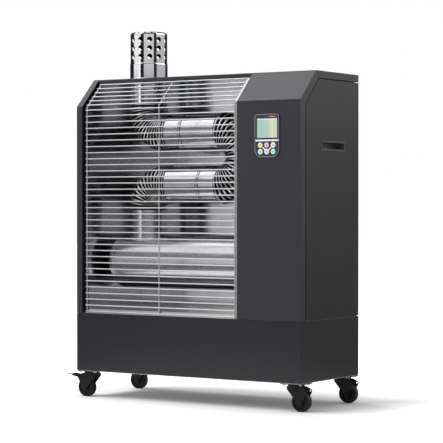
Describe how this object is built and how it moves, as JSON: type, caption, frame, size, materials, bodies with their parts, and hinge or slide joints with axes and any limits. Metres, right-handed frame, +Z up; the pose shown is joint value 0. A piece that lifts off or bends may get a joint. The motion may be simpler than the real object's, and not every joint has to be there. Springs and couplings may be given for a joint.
{
  "type": "portable infrared heater",
  "caption": "Rolling oil-fired infrared heater: dark sheet-metal cabinet with a wire grille over mirror-backed flue pipes, control panel, capped flue and casters.",
  "frame": {"origin": "on the floor, under the middle of the heater's overall box", "axes": "+Z up, -Y is the front with the grille, +X is the control side"},
  "size_m": [0.755, 0.2994, 0.969],
  "materials": {
    "cabinet_paint": "satin powder coat",
    "side_paint": "satin powder coat",
    "galvanised_sheet": "plain zinc",
    "mirror_sheet": "mirror-bright stainless",
    "polished_steel": "polished stainless",
    "satin_steel": "brushed stainless",
    "wire": "bright plated wire",
    "caster_black": "moulded black",
    "grip_plastic": "moulded black",
    "tank_plastic": "blow-moulded",
    "wheel_rubber": "hard tread",
    "unit_black": "gloss black",
    "lcd_glass": "clear over a pale screen",
    "board_green": "lacquered board",
    "button_yellow": "smooth",
    "button_white": "smooth",
    "button_mint": "smooth",
    "motor_grey": "enamel",
    "burner_steel": "plain",
    "transformer_black": "potted",
    "copper_line": "drawn tube",
    "cap_red": "moulded",
    "seal_rubber": "soft",
    "bolt_zinc": "zinc"
  },
  "bodies": {
    "root": {"base_box": "side_paint", "base_pan": "galvanised_sheet", "base_deck": "galvanised_sheet", "left_front_post": "cabinet_paint", "left_side_panel": "side_paint", "right_side_panel": "side_paint", "roof_panel": "cabinet_paint", "control_cover": "cabinet_paint", "rear_panel": "side_paint", "partition_wall": "galvanised_sheet", "grip_cups": "grip_plastic", "wire_grille": "wire", "panel_screws": "bolt_zinc", "reflector_back": "mirror_sheet", "reflector_left": "mirror_sheet", "reflector_top": "mirror_sheet", "reflector_floor": "mirror_sheet", "combustion_drum": "satin_steel", "drum_neck": "satin_steel", "lower_elbow": "polished_steel", "middle_pipe": "polished_steel", "return_bend": "polished_steel", "upper_pipe": "polished_steel", "upper_elbow": "polished_steel", "flue_pipe": "polished_steel", "flue_collar": "polished_steel", "fuel_tank": "tank_plastic", "filler_neck": "galvanised_sheet", "fuel_pump": "burner_steel", "fuel_line": "copper_line", "burner_tube": "burner_steel", "blower_housing": "burner_steel", "blower_motor": "motor_grey", "ignition_transformer": "transformer_black", "display_bezel": "unit_black", "lcd_window": "lcd_glass", "control_board": "board_green", "power_inlet": "unit_black", "caster_plates": "caster_black", "caster_bolts": "bolt_zinc"},
    "fan": {"fan_wheel": "galvanised_sheet"},
    "filler_plug": {"filler_plug": "seal_rubber"},
    "filler_cap": {"filler_cap": "cap_red"},
    "flue_cap": {"flue_cap": "polished_steel"},
    "button_1": {"button_1": "button_yellow"},
    "button_2": {"button_2": "button_white"},
    "button_3": {"button_3": "button_white"},
    "button_4": {"button_4": "button_white"},
    "button_5": {"button_5": "button_white"},
    "button_6": {"button_6": "button_mint"},
    "fork_front_left": {"fork_front_left": "caster_black"},
    "wheel_front_left": {"wheel_front_left": "wheel_rubber"},
    "fork_front_right": {"fork_front_right": "caster_black"},
    "wheel_front_right": {"wheel_front_right": "wheel_rubber"},
    "fork_rear_left": {"fork_rear_left": "caster_black"},
    "wheel_rear_left": {"wheel_rear_left": "wheel_rubber"},
    "fork_rear_right": {"fork_rear_right": "caster_black"},
    "wheel_rear_right": {"wheel_rear_right": "wheel_rubber"},
    "brake_front_left": {"brake_front_left": "caster_black"},
    "brake_rear_left": {"brake_rear_left": "caster_black"}
  },
  "joints": [
    {"name": "swivel_front_left", "type": "hinge", "parent": "root", "child": "fork_front_left", "pos_m": [-0.2955, -0.11675, 0.063], "axis": [0, 0, 1], "continuous": true},
    {"name": "roll_front_left", "type": "hinge", "parent": "fork_front_left", "child": "wheel_front_left", "pos_m": [-0.3115, -0.11675, 0.025], "axis": [0, 1, 0], "continuous": true},
    {"name": "swivel_front_right", "type": "hinge", "parent": "root", "child": "fork_front_right", "pos_m": [0.3365, -0.11675, 0.063], "axis": [0, 0, 1], "continuous": true},
    {"name": "roll_front_right", "type": "hinge", "parent": "fork_front_right", "child": "wheel_front_right", "pos_m": [0.3525, -0.11675, 0.025], "axis": [0, 1, 0], "continuous": true},
    {"name": "swivel_rear_left", "type": "hinge", "parent": "root", "child": "fork_rear_left", "pos_m": [-0.2955, 0.11925, 0.063], "axis": [0, 0, 1], "continuous": true},
    {"name": "roll_rear_left", "type": "hinge", "parent": "fork_rear_left", "child": "wheel_rear_left", "pos_m": [-0.3115, 0.11925, 0.025], "axis": [0, 1, 0], "continuous": true},
    {"name": "swivel_rear_right", "type": "hinge", "parent": "root", "child": "fork_rear_right", "pos_m": [0.3365, 0.11925, 0.063], "axis": [0, 0, 1], "continuous": true},
    {"name": "roll_rear_right", "type": "hinge", "parent": "fork_rear_right", "child": "wheel_rear_right", "pos_m": [0.3525, 0.11925, 0.025], "axis": [0, 1, 0], "continuous": true},
    {"name": "press_brake_front_left", "type": "hinge", "parent": "fork_front_left", "child": "brake_front_left", "pos_m": [-0.3295, -0.11675, 0.0525], "axis": [0, -1, 0], "range_deg": [0, 18]},
    {"name": "press_brake_rear_left", "type": "hinge", "parent": "fork_rear_left", "child": "brake_rear_left", "pos_m": [-0.3295, 0.11925, 0.0525], "axis": [0, -1, 0], "range_deg": [0, 18]},
    {"name": "push_button_1", "type": "slide", "parent": "root", "child": "button_1", "axis": [0, 1, 0], "range_m": [0, 0.001], "stiffness_N_per_m": 600},
    {"name": "push_button_2", "type": "slide", "parent": "root", "child": "button_2", "axis": [0, 1, 0], "range_m": [0, 0.001], "stiffness_N_per_m": 600},
    {"name": "push_button_3", "type": "slide", "parent": "root", "child": "button_3", "axis": [0, 1, 0], "range_m": [0, 0.001], "stiffness_N_per_m": 600},
    {"name": "push_button_4", "type": "slide", "parent": "root", "child": "button_4", "axis": [0, 1, 0], "range_m": [0, 0.001], "stiffness_N_per_m": 600},
    {"name": "push_button_5", "type": "slide", "parent": "root", "child": "button_5", "axis": [0, 1, 0], "range_m": [0, 0.001], "stiffness_N_per_m": 600},
    {"name": "push_button_6", "type": "slide", "parent": "root", "child": "button_6", "axis": [0, 1, 0], "range_m": [0, 0.001], "stiffness_N_per_m": 600},
    {"name": "fan_spin", "type": "hinge", "parent": "root", "child": "fan", "pos_m": [0.2865, -0.01075, 0.336], "axis": [0, 1, 0], "continuous": true},
    {"name": "filler_plug_pull", "type": "slide", "parent": "root", "child": "filler_plug", "axis": [0, 0.7071, 0.7071], "range_m": [0, 0.026]},
    {"name": "filler_cap_turn", "type": "hinge", "parent": "filler_plug", "child": "filler_cap", "pos_m": [0.2155, 0.11761, 0.16818], "axis": [0, 0.7071, 0.7071], "continuous": true},
    {"name": "flue_cap_lift", "type": "slide", "parent": "root", "child": "flue_cap", "axis": [0, 0, 1], "range_m": [0, 0.03]}
  ]
}
